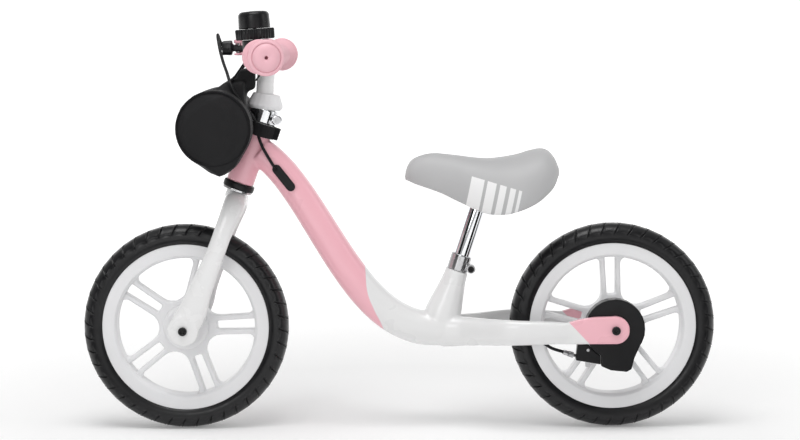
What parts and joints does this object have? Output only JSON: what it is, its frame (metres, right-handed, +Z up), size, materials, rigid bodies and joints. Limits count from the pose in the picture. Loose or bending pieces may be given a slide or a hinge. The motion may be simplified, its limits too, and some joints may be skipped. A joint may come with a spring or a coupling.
{
  "type": "balance bike",
  "caption": "Child's two-wheel balance bike with a low curved beam frame, foam-tyred wheels, rear band brake, bell, front roll bag and height-adjustable seat.",
  "frame": {"origin": "centre of the underside of the bounding box, on the ground between the wheels", "axes": "+X forward along the bike, +Y to the rider's left, +Z up"},
  "size_m": [0.8886, 0.3698, 0.5861],
  "materials": {
    "pink_paint": "gloss",
    "white_paint": "gloss",
    "steel": "satin",
    "chrome": "polished",
    "white_plastic": "satin",
    "black_plastic": "matte",
    "pink_plastic": "satin",
    "foam_tyre": "matte foam",
    "rubber": "matte",
    "pink_rubber": "matte",
    "black_cloth": "woven",
    "grey_vinyl": "matte vinyl"
  },
  "bodies": {
    "frame_body": {"frame": "pink_paint", "lower_headset_cup": "black_plastic", "upper_headset_cup": "black_plastic", "lower_head_bearing": "steel", "upper_head_bearing": "steel", "head_strap": "black_cloth", "cable_grommet": "rubber", "brake_cable_lower": "black_plastic", "brake_cable_upper": "black_plastic", "rear_axle": "steel", "rear_bolt_left": "black_plastic", "rear_bolt_right": "black_plastic", "rear_spacer_left": "steel", "rear_spacer_right": "steel", "brake_cover": "black_plastic", "brake_band": "steel", "brake_bracket": "black_plastic", "brake_arm_pin": "steel", "brake_adjuster": "steel", "brake_spring": "steel", "seat_clamp": "steel", "seat_clamp_bolt": "black_plastic"},
    "fork_body": {"fork": "white_paint", "crown_race": "steel", "front_axle": "steel", "front_bolt_left": "black_plastic", "front_bolt_right": "black_plastic", "front_spacer_left": "steel", "front_spacer_right": "steel", "stem_clamp": "chrome", "stem_clamp_bolt": "black_plastic"},
    "bar_body": {"handlebar": "white_paint", "stem_collar": "white_plastic", "grip_left": "pink_rubber", "grip_right": "pink_rubber", "lever_perch": "black_plastic", "lever_pin": "steel", "lever_adjuster": "black_plastic", "bell_base": "black_plastic", "bell_dome": "black_plastic", "bag": "black_cloth", "bag_strap_left": "black_cloth", "bag_strap_right": "black_cloth"},
    "bell_twist": {"bell_ring": "black_plastic", "bell_striker": "steel"},
    "lever_body": {"brake_lever": "pink_plastic"},
    "front_wheel": {"front_rim": "white_plastic", "front_tyre": "foam_tyre", "front_bearing_left": "steel", "front_bearing_right": "steel"},
    "rear_wheel": {"rear_rim": "white_plastic", "rear_tyre": "foam_tyre", "rear_bearing_left": "steel", "rear_bearing_right": "steel", "brake_drum": "steel"},
    "brake_arm_body": {"brake_arm": "steel"},
    "seat_body": {"seat_post": "chrome", "seat_pan": "black_plastic", "seat_cushion": "grey_vinyl"}
  },
  "joints": [
    {"name": "steering", "type": "hinge", "parent": "frame_body", "child": "fork_body", "pos_m": [0.2242, 0, 0.34278], "axis": [-0.3338, 0, 0.9426], "range_deg": [-45, 45], "deforming": ["brake_cable_upper"]},
    {"name": "bar_height", "type": "slide", "parent": "fork_body", "child": "bar_body", "axis": [-0.3338, 0, 0.9426], "range_m": [0, 0.03], "deforming": ["brake_cable_upper"]},
    {"name": "bell_ring_twist", "type": "hinge", "parent": "bar_body", "child": "bell_twist", "pos_m": [0.19362, 0.052, 0.5235], "axis": [0.0698, 0, 0.9976], "range_deg": [-30, 30], "stiffness_Nm_per_rad": 0.05},
    {"name": "brake_lever_pull", "type": "hinge", "parent": "bar_body", "child": "lever_body", "pos_m": [0.22712, -0.052, 0.535], "axis": [0, 0, 1], "range_deg": [-12, 0], "stiffness_Nm_per_rad": 2, "springref_deg": 2.86},
    {"name": "front_wheel_spin", "type": "hinge", "parent": "fork_body", "child": "front_wheel", "pos_m": [0.3, 0, 0.1443], "axis": [0, 1, 0], "continuous": true},
    {"name": "rear_wheel_spin", "type": "hinge", "parent": "frame_body", "child": "rear_wheel", "pos_m": [-0.3, 0, 0.1443], "axis": [0, 1, 0], "continuous": true},
    {"name": "brake_arm_swing", "type": "hinge", "parent": "frame_body", "child": "brake_arm_body", "pos_m": [-0.263, 0, 0.1143], "axis": [0, 1, 0], "range_deg": [-12, 0]},
    {"name": "seat_height", "type": "slide", "parent": "frame_body", "child": "seat_body", "axis": [-0.309, 0, 0.9511], "range_m": [-0.045, 0.035]}
  ],
  "couplings": [
    {"joint": "brake_arm_swing", "follows": "brake_lever_pull", "ratio": 0.9}
  ]
}
